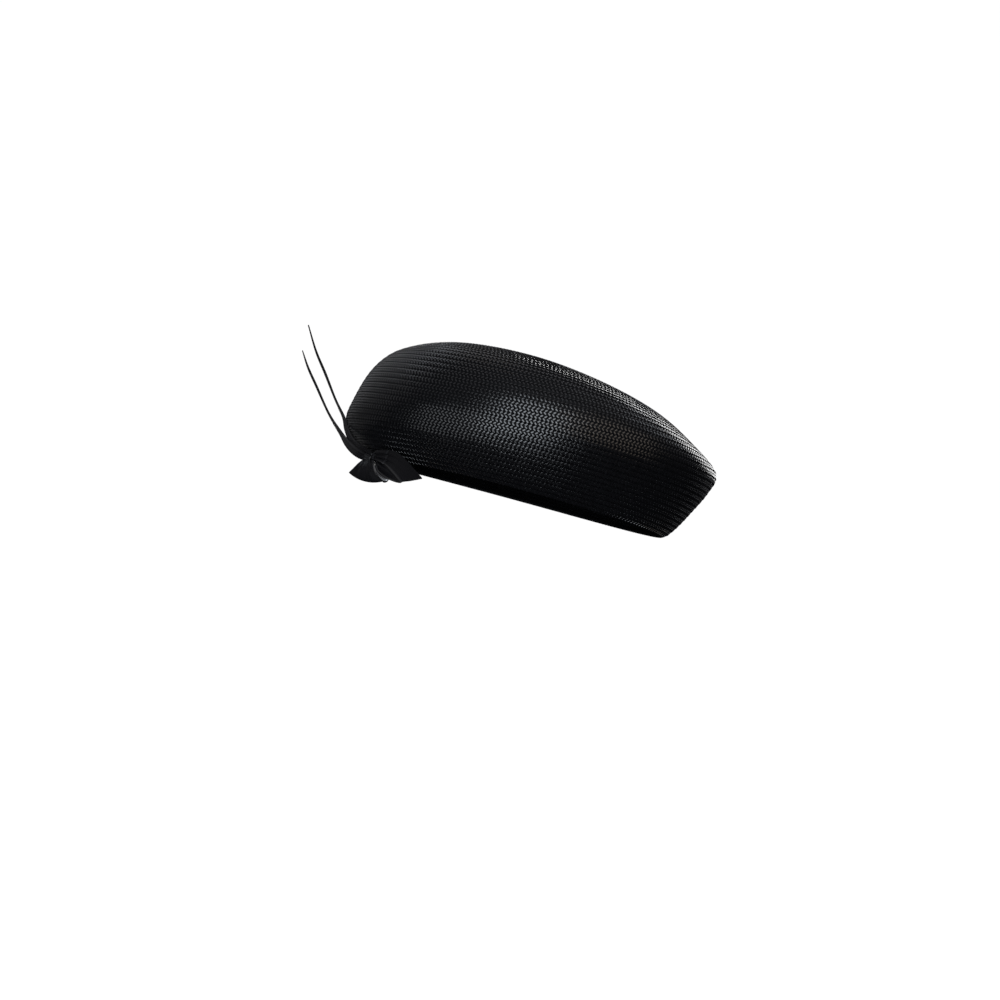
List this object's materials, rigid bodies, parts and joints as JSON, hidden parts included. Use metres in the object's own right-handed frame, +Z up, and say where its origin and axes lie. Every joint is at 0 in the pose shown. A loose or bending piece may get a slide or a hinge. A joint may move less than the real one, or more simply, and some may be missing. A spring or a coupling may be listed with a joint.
{
  "type": "straw percher hat",
  "caption": "Beret-shaped percher hat of glossy black plaited straw, hollow and open below, with a small drooping ribbon bow and slender curved quills at the front of its rim.",
  "frame": {"origin": "centre of the head opening, in the plane of the rim's front and back edges", "axes": "+Z up through the tip of the crown; +X towards the back of the hat, along its length; -Y is the side that carries the bow"},
  "size_m": [0.3651, 0.2556, 0.1347],
  "materials": {
    "straw": "glossy black plaited synthetic straw",
    "front_ribbon": "black ribbon with a soft sheen",
    "side_ribbon": "black ribbon with a soft sheen",
    "knot_ribbon": "black ribbon with a soft sheen",
    "long_quill": "smooth black quill with a narrow shine",
    "short_quill": "smooth black quill with a narrow shine"
  },
  "bodies": {
    "root": {"crown": "straw", "bow_loop_front": "front_ribbon", "bow_loop_side": "side_ribbon", "bow_knot": "knot_ribbon", "quill_long": "long_quill", "quill_short": "short_quill"}
  },
  "joints": []
}
